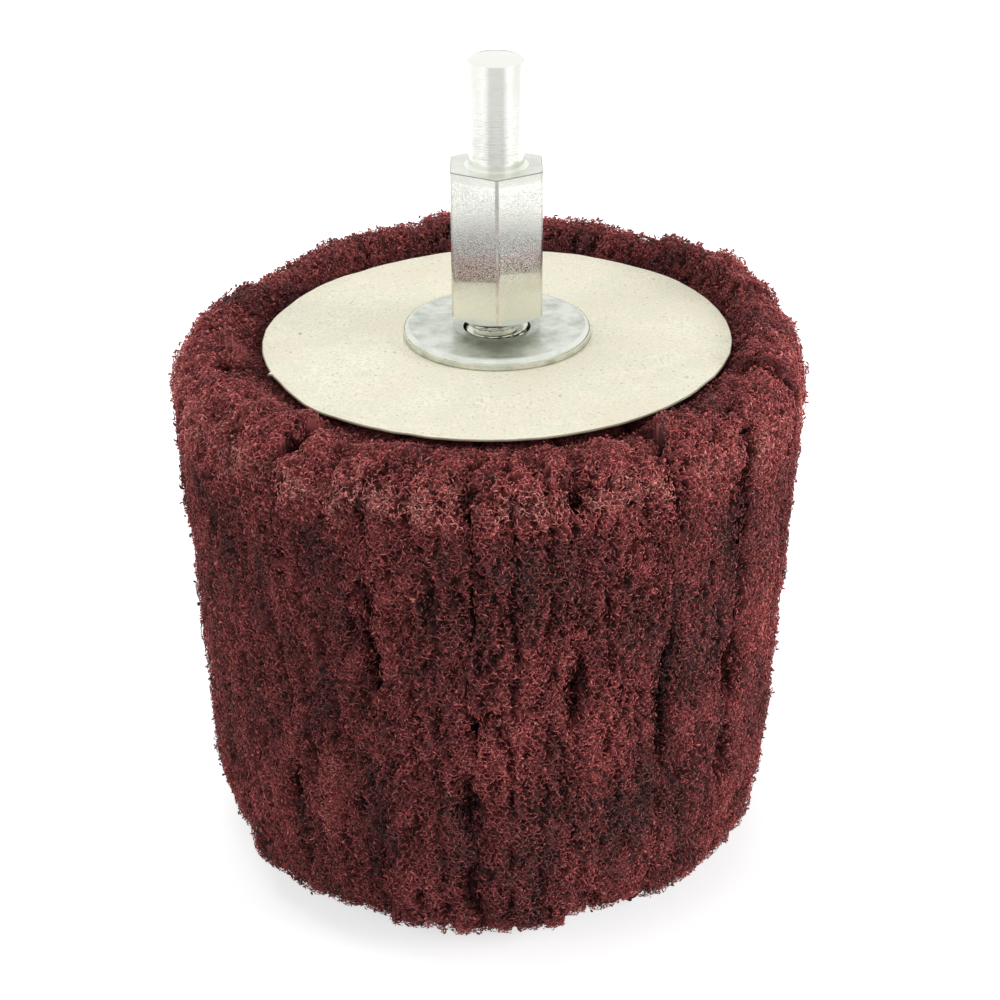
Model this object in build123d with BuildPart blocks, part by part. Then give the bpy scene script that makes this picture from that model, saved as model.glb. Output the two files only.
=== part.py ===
from build123d import *
import math
import os

# Web pack: flaps cut from a slab of fibre web, standing round the core and out past the cards
flap_count = 20
flap_height = 72.9
flap_gap = 0.3
first_gap_angle = -4.0
crest_overhang = 10.0
foot_overhang = 7.8
shoulder_radius = 5.0
foot_radius = 5.8
bank_width = 2.5
rim_bevel = 1.5

# The pack isn't quite true: its crest is tilted, and its rim stands off the axis
crest_tilt = 1.9
crest_tilt_angle = 60.0
rim_offset = 0.6
rim_offset_angle = 180.0

# Cards: one size at both ends, each drawn a little way into the soft web
card_diameter = 60.0
card_thickness = 0.45
card_hole_diameter = 9.0
card_clearance = 0.3
top_card_inset = 1.7
bottom_card_inset = 1.6

# Resin core, cast round the bolt and across the pinched inner ends of the flaps
core_radius = 10.6
cast_gap = 0.05

# Bolt: 8 mm thread, as a plain cylinder of its outside diameter
bolt_diameter = 7.9
bolt_tip_chamfer = 0.6
bolt_head_width = 13.0
bolt_head_height = 5.3
bolt_head_chamfer_angle = 30.0

# Loose top washer
washer_diameter = 24.0
washer_hole_diameter = 9.0
washer_thickness = 1.4
washer_rim_radius = 0.6
washer_hole_chamfer = 0.3
washer_play = 1.8

# Arbor: hexagonal coupling and turned shank in one piece
hex_width = 11.1
hex_length = 19.3
hex_chamfer_angle = 30.0
shank_diameter = 7.0
shank_length = 13.4
shank_chamfer = 0.5
thread_engagement = 10.0
thread_gap = 0.05
tapped_depth = 12.0
tapped_mouth_chamfer = 0.5
drill_point_angle = 118.0

# Levels up the axis, from the foot that the mop stands on
foot_level = 0.0
crest_level = foot_level + flap_height
bottom_card_level = foot_level + bottom_card_inset
core_bottom = bottom_card_level + card_thickness
washer_level = crest_level - top_card_inset
core_top = washer_level - card_thickness
hex_bottom = washer_level + washer_thickness + washer_play
hex_top = hex_bottom + hex_length
shank_top = hex_top + shank_length
bolt_tip = hex_bottom + thread_engagement

# Rim of the web pack, leaning out from foot to crest
rim_top_radius = card_diameter / 2 + crest_overhang
rim_foot_radius = card_diameter / 2 + foot_overhang

# Turns about the axis
flap_step = 360.0 / flap_count
hex_turn = 30.0

os.makedirs("parts", exist_ok=True)


# Depth to which a cone at this angle trims the corners of a hexagon of this width
def corner_trim_depth(width, angle):
    corner_radius = width / math.sqrt(3)
    return (corner_radius - width / 2) * math.tan(math.radians(angle))


def write_piece(builder, label):
    builder.part.label = label
    export_step(builder.part, f"parts/{label}.step")


card_pocket_radius = card_diameter / 2 + card_clearance
half_step = math.radians(flap_step / 2)


def flap_half_width(radius):
    return radius * math.tan(half_step) - flap_gap / 2 / math.cos(half_step)


# Flap: outline seen from the side, trimmed to a wedge between its neighbours and bevelled along the rim
def make_flap(label, middle_angle):
    crest = crest_level + crest_tilt * math.cos(math.radians(middle_angle - crest_tilt_angle))
    offset = rim_offset * math.cos(math.radians(middle_angle - rim_offset_angle))
    rim_top = rim_top_radius + offset
    rim_foot = rim_foot_radius + offset
    rim_slope = (rim_top - rim_foot, 0, crest - foot_level)
    with BuildPart() as flap_blank:
        with BuildSketch(Plane.XZ):
            with BuildLine():
                FilletPolyline(
                    (core_radius, core_bottom),
                    (core_radius, core_top),
                    (card_pocket_radius, core_top),
                    (card_pocket_radius, washer_level),
                    (card_pocket_radius + bank_width, crest),
                    (rim_top, crest),
                    (rim_foot, foot_level),
                    (card_pocket_radius, foot_level),
                    (card_pocket_radius, core_bottom),
                    radius=[0, 0, 0, 0, 0, shoulder_radius, foot_radius, 0, 0],
                    close=True,
                )
            make_face()
        extrude(amount=flap_half_width(rim_top), both=True)
        with BuildSketch(Plane.XY.offset(foot_level)):
            with BuildLine():
                Polyline(
                    (core_radius, flap_half_width(core_radius)),
                    (rim_top, flap_half_width(rim_top)),
                    (rim_top, -flap_half_width(rim_top)),
                    (core_radius, -flap_half_width(core_radius)),
                    close=True,
                )
            make_face()
        extrude(amount=crest - foot_level, mode=Mode.INTERSECT)
        with BuildSketch(Plane.XY.offset(foot_level)) as flap_rim:
            with Locations((rim_foot, 0)):
                Rectangle(2 * rim_top, 2 * flap_half_width(rim_top), align=(Align.MAX, Align.CENTER))
            chamfer(flap_rim.vertices().group_by(Axis.X)[-1], rim_bevel)
        extrude(amount=math.hypot(*rim_slope), dir=rim_slope, mode=Mode.INTERSECT)
    with BuildPart() as flap:
        add(flap_blank.part, rotation=(0, 0, middle_angle))
    write_piece(flap, label)


for index in range(flap_count):
    make_flap(f"flap_{index + 1:02d}", first_gap_angle + flap_step * (index + 0.5))

# Cards
for label, level in (("bottom_card", bottom_card_level), ("top_card", core_top)):
    with BuildPart() as card:
        with BuildSketch(Plane.XY.offset(level)):
            Circle(card_diameter / 2)
            Circle(card_hole_diameter / 2, mode=Mode.SUBTRACT)
        extrude(amount=card_thickness)
    write_piece(card, label)

# Resin core: a flat facet for each flap, and the cast pocket of the bolt
with BuildPart() as resin_core:
    with BuildSketch(Plane.XY.offset(core_bottom)):
        RegularPolygon(core_radius, flap_count, major_radius=False, rotation=first_gap_angle)
    extrude(amount=core_top - core_bottom)
    with BuildSketch(Plane.XY.offset(core_bottom)):
        Circle(bolt_diameter / 2 + cast_gap)
    extrude(amount=core_top - core_bottom, mode=Mode.SUBTRACT)
    with BuildSketch(Plane.XY.offset(core_bottom)):
        RegularPolygon(bolt_head_width / 2 + cast_gap, 6, major_radius=False, rotation=hex_turn)
    extrude(amount=bolt_head_height + cast_gap, mode=Mode.SUBTRACT)
write_piece(resin_core, "resin_core")

# Bolt, head down on the bottom card
with BuildPart() as bolt:
    with BuildSketch(Plane.XY.offset(core_bottom)):
        RegularPolygon(bolt_head_width / 2, 6, major_radius=False, rotation=hex_turn)
    extrude(amount=bolt_head_height)
    head_trim = corner_trim_depth(bolt_head_width, bolt_head_chamfer_angle)
    with BuildSketch(Plane.XZ):
        with BuildLine():
            Polyline(
                (0, core_bottom),
                (bolt_head_width / 2, core_bottom),
                (bolt_head_width / math.sqrt(3), core_bottom + head_trim),
                (bolt_head_width / math.sqrt(3), core_bottom + bolt_head_height),
                (0, core_bottom + bolt_head_height),
                close=True,
            )
        make_face()
    revolve(axis=Axis.Z, mode=Mode.INTERSECT)
    with BuildSketch(Plane.XY.offset(core_bottom + bolt_head_height)):
        Circle(bolt_diameter / 2)
    extrude(amount=bolt_tip - core_bottom - bolt_head_height)
    chamfer(bolt.edges().group_by(Axis.Z)[-1], bolt_tip_chamfer)
write_piece(bolt, "bolt")

# Washer: pressed from plate, with a rolled upper rim
with BuildPart() as top_washer:
    with BuildSketch(Plane.XY.offset(washer_level)):
        Circle(washer_diameter / 2)
        Circle(washer_hole_diameter / 2, mode=Mode.SUBTRACT)
    extrude(amount=washer_thickness)
    upper_edges = top_washer.edges().group_by(Axis.Z)[-1].sort_by(SortBy.RADIUS)
    fillet(upper_edges[-1], washer_rim_radius)
    hole_edges = top_washer.edges().group_by(Axis.Z)[-1].sort_by(SortBy.RADIUS)
    chamfer(hole_edges[0], washer_hole_chamfer)
write_piece(top_washer, "top_washer")

# Arbor: hexagon trimmed by a cone at its lower end, shank turned above it, blind tapped hole below
with BuildPart() as arbor:
    with BuildSketch(Plane.XY.offset(hex_bottom)):
        RegularPolygon(hex_width / 2, 6, major_radius=False, rotation=hex_turn)
    extrude(amount=hex_length)
    hex_trim = corner_trim_depth(hex_width, hex_chamfer_angle)
    with BuildSketch(Plane.XZ):
        with BuildLine():
            Polyline(
                (0, hex_bottom),
                (hex_width / 2, hex_bottom),
                (hex_width / math.sqrt(3), hex_bottom + hex_trim),
                (hex_width / math.sqrt(3), hex_top),
                (0, hex_top),
                close=True,
            )
        make_face()
    revolve(axis=Axis.Z, mode=Mode.INTERSECT)
    with BuildSketch(Plane.XY.offset(hex_top)):
        Circle(shank_diameter / 2)
    extrude(amount=shank_length)
    chamfer(arbor.edges().group_by(Axis.Z)[-1], shank_chamfer)
    tapped_radius = bolt_diameter / 2 + thread_gap
    drill_point = tapped_radius / math.tan(math.radians(drill_point_angle / 2))
    with BuildSketch(Plane.XZ):
        with BuildLine():
            Polyline(
                (0, hex_bottom),
                (tapped_radius + tapped_mouth_chamfer, hex_bottom),
                (tapped_radius, hex_bottom + tapped_mouth_chamfer),
                (tapped_radius, hex_bottom + tapped_depth),
                (0, hex_bottom + tapped_depth + drill_point),
                close=True,
            )
        make_face()
    revolve(axis=Axis.Z, mode=Mode.SUBTRACT)
write_piece(arbor, "arbor")
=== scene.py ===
import math

import bmesh
import bpy
import numpy as np
from mathutils import Matrix, Vector


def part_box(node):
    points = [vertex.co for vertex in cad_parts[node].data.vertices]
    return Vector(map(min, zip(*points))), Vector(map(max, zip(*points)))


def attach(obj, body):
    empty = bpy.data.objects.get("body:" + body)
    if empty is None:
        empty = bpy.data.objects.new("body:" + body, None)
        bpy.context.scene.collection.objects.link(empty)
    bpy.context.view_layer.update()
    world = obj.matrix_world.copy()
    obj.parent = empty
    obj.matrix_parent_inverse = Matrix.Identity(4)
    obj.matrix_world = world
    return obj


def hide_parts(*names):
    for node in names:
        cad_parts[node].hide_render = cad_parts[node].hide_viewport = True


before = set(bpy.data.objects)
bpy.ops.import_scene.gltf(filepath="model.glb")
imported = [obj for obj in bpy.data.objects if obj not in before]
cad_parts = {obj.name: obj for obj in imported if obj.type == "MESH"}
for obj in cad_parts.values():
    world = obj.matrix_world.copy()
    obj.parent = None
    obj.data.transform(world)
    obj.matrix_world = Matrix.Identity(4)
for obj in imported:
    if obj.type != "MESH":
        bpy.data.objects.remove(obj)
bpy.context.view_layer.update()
mm = 0.001  # every size below is in millimetres, and becomes metres when its mesh is made


def nodeBox(node):
    low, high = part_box(node)
    return np.array(low) / mm, np.array(high) / mm


def paint(red, green, blue):  # a colour as the eye sees it, 0 to 255, as linear light
    seen = np.array([red, green, blue]) / 255
    linear = np.where(seen <= 0.04045, seen / 12.92, ((seen + 0.055) / 1.055) ** 2.4)
    return (*linear.tolist(), 1.0)


print("frame loaded")

# Shader groups and materials


def newGroup(name, inputs, output):
    group = bpy.data.node_groups.new(name, "ShaderNodeTree")
    for label, value in inputs.items():
        socket = group.interface.new_socket(name=label, in_out="INPUT", socket_type="NodeSocketFloat")
        socket.default_value = value
    group.interface.new_socket(name=output, in_out="OUTPUT", socket_type="NodeSocketFloat")
    return group, group.nodes.new("NodeGroupInput"), group.nodes.new("NodeGroupOutput")


def feed(tree, socket, value):  # an output is linked to the socket, and a constant is set on it
    if isinstance(value, bpy.types.NodeSocket):
        tree.links.new(value, socket)
    else:
        socket.default_value = value


def plug(tree, node, **values):  # feeds inputs by name
    for label, value in values.items():
        feed(tree, node.inputs[label.replace("_", " ")], value)


def addNode(tree, kind, settings=None, **values):
    node = tree.nodes.new(kind)
    for label, value in (settings or {}).items():
        setattr(node, label, value)
    plug(tree, node, **values)
    return node


def worked(tree, kind, settings, values):  # a node fed in the order of its inputs, and its first output
    node = addNode(tree, kind, settings)
    for socket, value in zip(node.inputs, values):
        feed(tree, socket, value)
    return node.outputs[0]


def maths(tree, operation, *values):
    return worked(tree, "ShaderNodeMath", {"operation": operation}, values)


def pattern(tree, group, *values):
    return worked(tree, "ShaderNodeGroup", {"node_tree": group}, values)


def objectSpot(tree):
    return addNode(tree, "ShaderNodeTexCoord").outputs["Object"]


def noiseAt(tree, spot, scale, detail, roughness):
    values = {"Vector": spot, "Scale": scale, "Detail": detail, "Roughness": roughness}
    return addNode(tree, "ShaderNodeTexNoise", **values).outputs


# Carries a value in proportion from one range to another, and holds it at the second range's ends
def rangeFrom(tree, value, source=(0.0, 1.0), target=(0.0, 1.0)):
    ends = {"From_Min": source[0], "From_Max": source[1], "To_Min": target[0], "To_Max": target[1]}
    return addNode(tree, "ShaderNodeMapRange", Value=value, **ends).outputs["Result"]


def mixColours(tree, factor, first, second, blend="MIX"):
    node = addNode(tree, "ShaderNodeMix", {"data_type": "RGBA", "blend_type": blend})
    for number, value in ((0, factor), (6, first), (7, second)):  # the colour mix's own sockets
        feed(tree, node.inputs[number], value)
    return node.outputs[2]


def bumpFrom(tree, height, strength, distance):
    bump = addNode(tree, "ShaderNodeBump", Height=height, Strength=strength, Distance=distance)
    return bump.outputs["Normal"]


def fillRamp(node, stops):
    ramp = node.color_ramp
    while len(ramp.elements) < len(stops):
        ramp.elements.new(1.0)
    for element, (position, colour) in zip(ramp.elements, stops):
        element.position = position
        element.color = colour


def grey(value):
    return (value, value, value, 1.0)


# Blotches: soft noise, squeezed between two levels into a mask from 0 to 1
def makeBlotchGroup():
    group, start, end = newGroup("softBlotches", {"Scale": 100.0, "Low": 0.4, "High": 0.6}, "Mask")
    noise = noiseAt(group, objectSpot(group), start.outputs["Scale"], 4.0, 0.55)
    levels = start.outputs["Low"], start.outputs["High"]
    feed(group, end.inputs["Mask"], rangeFrom(group, noise["Fac"], levels))
    return group


# Specks: cells of a Voronoi pattern, of which a random share shows, each as a small dot round its middle
def makeSpeckGroup():
    group, start, end = newGroup("scatteredSpecks", {"Scale": 400.0, "Share": 0.2, "Size": 0.3}, "Mask")
    spot = objectSpot(group)
    warp = noiseAt(group, spot, 900.0, 2.0, 0.5)["Color"]
    bend = addNode(group, "ShaderNodeVectorMath", {"operation": "SCALE"}, Vector=warp, Scale=0.0009)
    bent = worked(group, "ShaderNodeVectorMath", {"operation": "ADD"}, (spot, bend.outputs["Vector"]))
    cells = addNode(group, "ShaderNodeTexVoronoi", Vector=bent, Scale=start.outputs["Scale"])
    chance = addNode(group, "ShaderNodeSeparateColor", Color=cells.outputs["Color"]).outputs["Red"]
    chosen = maths(group, "LESS_THAN", chance, start.outputs["Share"])
    near = rangeFrom(group, cells.outputs["Distance"], (start.outputs["Size"], 0.0))
    feed(group, end.inputs["Mask"], maths(group, "MULTIPLY", chosen, near))
    return group


# Turned rings: noise read along the axis only, so that it runs round the piece as fine tool marks
def makeRingGroup():
    group, start, end = newGroup("turnedRings", {"Scale": 4000.0}, "Height")
    flat = addNode(group, "ShaderNodeMapping", Vector=objectSpot(group), Scale=(0.03, 0.03, 1.0))
    noise = noiseAt(group, flat.outputs["Vector"], start.outputs["Scale"], 3.0, 0.7)
    feed(group, end.inputs["Height"], noise["Fac"])
    return group


blotchGroup = makeBlotchGroup()
speckGroup = makeSpeckGroup()
ringGroup = makeRingGroup()


def newMaterial(name, **values):
    material = bpy.data.materials.new(name)
    material.use_nodes = True
    tree = material.node_tree
    shader = tree.nodes["Principled BSDF"]
    plug(tree, shader, **values)
    return material, tree, shader


webLook = {
    "tones": (
        (0.00, paint(86, 69, 67)),
        (0.25, paint(128, 86, 84)),
        (0.55, paint(195, 100, 101)),
        (0.80, paint(230, 125, 122)),
        (1.00, paint(232, 158, 151)),
    ),
    # Painted shade: the map's second value turns into this darkening
    "paintedShade": ((0.0, grey(0.04)), (1.0, grey(1.0))),
    "roughness": (0.95, 0.5),  # deep down and at the skin
    "specular": 0.25,
}


# Fibre web: the map's first value picks the fibre's tone, its second one is painted shade that darkens what
# lies deep
def makeWebMaterial():
    material, tree, shader = newMaterial("fibreWeb", Specular_IOR_Level=webLook["specular"])
    look = addNode(tree, "ShaderNodeUVMap", {"uv_map": "OFBake"})
    parts = addNode(tree, "ShaderNodeSeparateXYZ", Vector=look.outputs["UV"]).outputs
    tone = addNode(tree, "ShaderNodeValToRGB", Fac=parts["X"])
    depth = addNode(tree, "ShaderNodeValToRGB", Fac=parts["Y"])
    fillRamp(tone, webLook["tones"])
    fillRamp(depth, webLook["paintedShade"])
    # The fibre's tone times its painted shade
    colour = mixColours(tree, 1.0, tone.outputs["Color"], depth.outputs["Color"], "MULTIPLY")
    plug(tree, shader, Base_Color=colour, Roughness=rangeFrom(tree, parts["Y"], target=webLook["roughness"]))
    return material


# Card face: warm cream pulp with faint stains, dark and brown flecks, and a slight tooth; a blotch pattern
# takes its scale and both levels, and a speck pattern its scale, share and size
def makeCardMaterial():
    material, tree, shader = newMaterial("cardFace", Roughness=0.85)
    stain = pattern(tree, blotchGroup, 70.0, 0.42, 0.72)
    tint = pattern(tree, blotchGroup, 300.0, 0.45, 0.68)
    pulp = pattern(tree, blotchGroup, 2600.0, 0.38, 0.6)
    faint = pattern(tree, speckGroup, 1900.0, 0.14, 0.4)
    dark = pattern(tree, speckGroup, 640.0, 0.035, 0.2)
    colour = mixColours(tree, stain, paint(241, 238, 218), paint(233, 223, 201))
    colour = mixColours(tree, tint, colour, paint(227, 229, 208))
    colour = mixColours(tree, pulp, paint(225, 219, 199), colour)
    colour = mixColours(tree, faint, colour, paint(186, 174, 156))
    colour = mixColours(tree, dark, colour, paint(112, 102, 92))
    plug(tree, shader, Base_Color=colour, Normal=bumpFrom(tree, pulp, 0.25, 0.00005))
    return material


# Card edge: the cut layers of grey pulp
def makeCardEdgeMaterial():
    material, tree, shader = newMaterial("cardEdge", Roughness=0.9)
    layers = pattern(tree, ringGroup, 9000.0)
    colour = mixColours(tree, layers, paint(132, 122, 102), paint(196, 188, 166))
    plug(tree, shader, Base_Color=colour, Normal=bumpFrom(tree, layers, 0.5, 0.0001))
    return material


zincLooks = {  # metal, its cloudy tint, roughness without and with grain, scales of clouds and grain, bump
    "zincHexagon": ((233, 234, 227), (225, 226, 218), (0.06, 0.24), 160.0, 9000.0, 0.1),
    # Darker metal on the hexagon's top edge: a painted dark line of shade
    "paintedDarkEdge": ((168, 164, 156), (150, 144, 136), (0.3, 0.5), 900.0, 9000.0, 0.1),
    "wornCorner": ((228, 225, 215), (214, 209, 199), (0.1, 0.26), 900.0, 7000.0, 0.15),
    "zincWasher": ((229, 232, 222), (190, 196, 186), (0.3, 0.55), 420.0, 6000.0, 0.08),
    # Brighter, smoother zinc on the washer's rim and bore and on the hexagon's top face: a smoother finish
    # and a painted highlight
    "smoothZincPaintedHighlight": ((234, 237, 228), (212, 217, 205), (0.1, 0.26), 240.0, 7000.0, 0.05),
    "brightBolt": ((226, 226, 216), (212, 211, 198), (0.12, 0.26), 300.0, 6000.0, 0.05),
}


# Zinc plating: light metal with cloudy tints, rougher where its fine grain shows
def makeZincMaterial(name, light, tint, roughness, cloud, grain, bump):
    material, tree, shader = newMaterial(name, Metallic=1.0)
    clouds = pattern(tree, blotchGroup, cloud, 0.38, 0.66)
    grains = pattern(tree, blotchGroup, grain, 0.5, 0.66)
    colour = mixColours(tree, clouds, paint(*light), paint(*tint))
    plug(tree, shader, Base_Color=colour, Roughness=rangeFrom(tree, grains, target=roughness))
    plug(tree, shader, Normal=bumpFrom(tree, grains, bump, 0.00004))
    return material


# Turned steel: bright metal whose fine rings draw its reflections out lengthwise
def makeTurnedMaterial():
    material, tree, shader = newMaterial("turnedShank", Metallic=1.0)
    rings = pattern(tree, ringGroup, 8000.0)
    clouds = pattern(tree, blotchGroup, 220.0, 0.35, 0.7)
    colour = mixColours(tree, clouds, paint(250, 251, 246), paint(243, 245, 236))
    plug(tree, shader, Base_Color=colour, Roughness=rangeFrom(tree, rings, target=(0.1, 0.24)))
    plug(tree, shader, Normal=bumpFrom(tree, rings, 0.4, 0.00003))
    return material


# Resin: dark amber casting, mottled where it soaked into the fibres
def makeResinMaterial():
    material, tree, shader = newMaterial("castResin", Roughness=0.35)
    soaked = pattern(tree, blotchGroup, 260.0, 0.4, 0.65)
    colour = mixColours(tree, soaked, paint(110, 62, 34), paint(70, 34, 30))
    plug(tree, shader, Base_Color=colour, Normal=bumpFrom(tree, soaked, 0.3, 0.0002))
    return material


webMaterial = makeWebMaterial()
cardMaterial = makeCardMaterial()
cardEdgeMaterial = makeCardEdgeMaterial()
zinc = {name: makeZincMaterial(name, *look) for name, look in zincLooks.items()}
turnedMaterial = makeTurnedMaterial()
resinMaterial = makeResinMaterial()
print("materials made")

# Meshes


# One mesh in metres: look gives each point its place on the bake map, and merge joins points that meet
def meshPiece(name, points, faces, materials, faceMaterial=None, look=None, sharpAngle=None, merge=False):
    mesh = bpy.data.meshes.new(name)
    mesh.vertices.add(len(points))
    mesh.vertices.foreach_set("co", (points * mm).astype(np.float32).ravel())
    mesh.loops.add(faces.size)
    mesh.loops.foreach_set("vertex_index", faces.astype(np.int32).ravel())
    mesh.polygons.add(len(faces))
    mesh.polygons.foreach_set("loop_start", np.arange(0, faces.size, faces.shape[1], dtype=np.int32))
    if faceMaterial is not None:
        mesh.polygons.foreach_set("material_index", faceMaterial.astype(np.int32))
    if look is not None:
        layer = mesh.uv_layers.new(name="OFBake")
        layer.uv.foreach_set("vector", look[faces.ravel()].astype(np.float32).ravel())
    for material in materials:
        mesh.materials.append(material)
    mesh.update(calc_edges=True)
    if merge:
        shape = bmesh.new()
        shape.from_mesh(mesh)
        bmesh.ops.remove_doubles(shape, verts=shape.verts, dist=0.002 * mm)
        bmesh.ops.recalc_face_normals(shape, faces=shape.faces)
        shape.to_mesh(mesh)
        shape.free()
    mesh.shade_smooth()
    if sharpAngle is not None:
        mesh.set_sharp_from_angle(angle=math.radians(sharpAngle))
    piece = bpy.data.objects.new(name, mesh)
    bpy.context.scene.collection.objects.link(piece)
    return piece


def dress(piece, body, slot, *nodes):
    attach(piece, body)
    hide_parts(*nodes)


def unit(vectors):
    return vectors / np.maximum(np.linalg.norm(vectors, axis=-1, keepdims=True), 1e-9)


# Outline with rounded corners: the arc that touches both sides stands in for each corner with a radius
def roundedOutline(corners, radii, arcPoints=8):
    corners = np.array(corners, float)
    points = []
    for index, radius in enumerate(radii):
        corner = corners[index]
        if radius == 0:
            points.append(corner[None])
            continue
        back = unit(corners[index - 1] - corner)
        onward = unit(corners[(index + 1) % len(corners)] - corner)
        half = math.acos(np.clip(back @ onward, -1, 1)) / 2
        centre = corner + unit(back + onward) * radius / math.sin(half)
        first = corner + back * radius / math.tan(half) - centre
        last = corner + onward * radius / math.tan(half) - centre
        sweep = math.pi - 2 * half
        share = np.linspace(0, 1, arcPoints)[:, None]
        arc = (np.sin((1 - share) * sweep) * first + np.sin(share * sweep) * last) / math.sin(sweep)
        points.append(centre + arc)
    return np.concatenate(points)


# Place at a radius, a turn round the axis and a height
def placeRound(radius, turn, height):
    return np.stack([radius * np.cos(turn), radius * np.sin(turn), height], -1)


def columnAngles(columns):
    return np.linspace(0, 2 * math.pi, columns, endpoint=False)


# Surface round the axis: rows of radius and height, each one value for the whole turn or one to each column
# of angle, joined row to row by quads
def roundSurface(rows, columns, closed=False):
    radius, height = (np.stack([np.broadcast_to(row[part], columns) for row in rows]) for part in (0, 1))
    points = placeRound(radius, columnAngles(columns), height).reshape(-1, 3)
    last = len(rows) if closed else len(rows) - 1
    row, column = np.meshgrid(np.arange(last), np.arange(columns), indexing="ij")
    here, above = row * columns, (row + 1) % len(rows) * columns
    nextColumn = (column + 1) % columns
    corners = [here + column, here + nextColumn, above + nextColumn, above + column]
    return points, np.stack(corners, -1).reshape(-1, 4)


# Soft random field: cosine waves in random directions, all near one wavelength, added up to about -2 to 2
def softField(points, wavelength, seed, waves=18):
    rng = np.random.default_rng(seed)
    direction = rng.normal(size=(waves, 3))
    direction /= np.linalg.norm(direction, axis=1, keepdims=True)
    number = direction * 2 * math.pi / (wavelength * rng.uniform(0.75, 1.35, (waves, 1)))
    return np.cos(points @ number.T + rng.uniform(0, 2 * math.pi, waves)).sum(1) / math.sqrt(waves / 2)


def softFields(points, waves):  # several added up, each with its weight, wavelength and seed
    return sum(weight * softField(points, wavelength, seed) for weight, wavelength, seed in waves)


def smoothStep(value, low, high):
    share = np.clip((value - low) / (high - low), 0, 1)
    return share * share * (3 - 2 * share)


# Fibre web

flapNodes = sorted(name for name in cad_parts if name.startswith("flap_"))
cardTop = nodeBox("top_card")[1][2]
cardRadius = nodeBox("top_card")[1][0]

web = {
    "flaps": len(flapNodes),
    "firstGap": -4.0,  # degrees
    "gap": 0.08,
    "coreRadius": 10.8,
    "pocketRadius": cardRadius + 0.1,
    "pocketLevel": cardTop - 0.55,  # the web under the card, which lies flat out to the next radius
    "flatRadius": 15.0,
    "topRadius": 40.6,
    "footRadius": 38.2,
    "shoulder": 6.2,
    "footRound": 9.0,
    "bank": 3.2,  # width of the bank from the card's edge up to the crest
    "bankDrop": 0.8,  # the bank starts this far under the card's face
    "bankRound": 3.5,
    "packLean": -0.9,  # the web stands this far to the left of the shank at its rim
    "edgeDrop": (0.1, 2.0),  # how far a flap's edges fall away, where the gap is closed and where it gapes
    "edgePower": 5.0,
    "clefts": ((1.0, 9.0, 41), (0.8, 3.2, 42)),  # soft fields where the gaps gape
    "cleftStretch": 0.4,  # they read heights at this share, which makes the clefts tall
    "wallDepth": 4.0,
    "gapWander": 0.55,  # the gap strays sideways by this, after the next fields
    "gapFields": ((0.7, 9.0, 43), (0.4, 3.0, 44)),
    "lumps": (0.2, 0.4),  # height of the skin's lumps on the rim and on the crest
    "baseDepth": 0.72,  # the closed inner surface lies this far under the skin, and its pits go deeper
    "pitDepth": 0.85,
    "pits": ((0.6, 1.8, 71), (0.6, 0.9, 72), (0.4, 7.0, 73)),
    "plyDepth": (0.5, 1.1),  # grooves between the plies of a flap
    "plyWidth": 0.06,
    "pressed": (0.35, 0.8),  # below this height the floor presses the foot flat, by this share
    "fibreFloor": 0.03,  # before that, no corner of a fibre lies lower than this
    "outlineSteps": 250,
    "acrossSteps": 31,
}
net = {
    "side": 0.46,  # side of a cell
    "stray": 0.3,  # share of it by which a knot is moved
    "thickness": 0.175,
    "layers": (-0.03, 0.22, 0.5),  # depth of each layer under the skin
    "missing": 0.18,
    "reach": 1.55,  # half width of the net in half widths of a flap, so that it hangs into both gaps
    "wallEnd": 1.6,  # nothing of it goes further down a gap's wall than this
    "longest": 2.2,  # longest fibre, in sides of a cell
    "overlap": 0.57,  # length of a fibre to each side of its middle, where 0.5 would just join the knots
}
strokes = {"count": 2200, "segments": 1, "step": 0.45, "thickness": 0.17, "turn": (0.0, 0.0)}
tufts = {"count": 380, "segments": 3, "step": 0.27, "thickness": 0.3, "turn": (0.3, 1.1)}
strays = {"count": 6, "segments": 5, "step": 0.4, "thickness": 0.13, "turn": (0.3, 0.8)}
# Painted shade on the web, written into its look: darker deep down and by the card's edge
shading = {
    "fall": 0.55,  # light lost with each millimetre under the skin
    "pocket": 0.78,  # light lost beside the card's edge
    "pocketReach": 3.2,
    "pocketDepth": 8.0,  # and down to this far under its face
    "least": 0.08,
}
flapTable = np.array([  # one value for each flap, in order round the axis
    # Crest above the card's face
    (2.8, 3.8, 4.2, 3.2, 3.2, 3.1, 3.1, 2.3, 0.7, 1.6, 0.7, 0.3, 0, -0.3, -0.5, -0.4, -0.1, 0.4, 1.2, 2),
    # Foot above the floor
    (1.1, 0.8, 0.6, 0.3, 0.1, 0, 0.1, 0.2, 0.4, 0.7, 0.9, 1.6, 0.1, 1, 0.2, 0.7, 2.3, 0.7, 1, 1.8),
    # Changes of the top radius and of the foot's
    (0, 0.1, 0.2, 0.2, 0.2, 0.2, 0.2, 0.2, 0.2, 0.2, 0.2, 0.4, 0.5, 0.1, 0, 0, 0, 0, 0, 0),
    (-1.1, -0.7, -0.6, -0.4, -0.2, 0, 0, 0, 0, 0.2, 0.1, -0.2, 0.5, 0, 0, 0, 0, -0.3, -0.7, -0.8),
    # Lift of the card's edge
    (0, 0, 0, 0, 0, -0.1, -0.3, -0.5, -0.5, -0.6, -0.6, -0.8, -0.9, -0.7, -0.5, -0.5, -0.3, -0.1, 0.3, 0.1),
]).T
halfStep = math.pi / web["flaps"]


def tableAt(degrees, column):
    middles = web["firstGap"] + 180 / len(flapTable) * (2 * np.arange(len(flapTable)) + 1)
    return np.interp(degrees, middles, flapTable[:, column], period=360)


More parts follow.
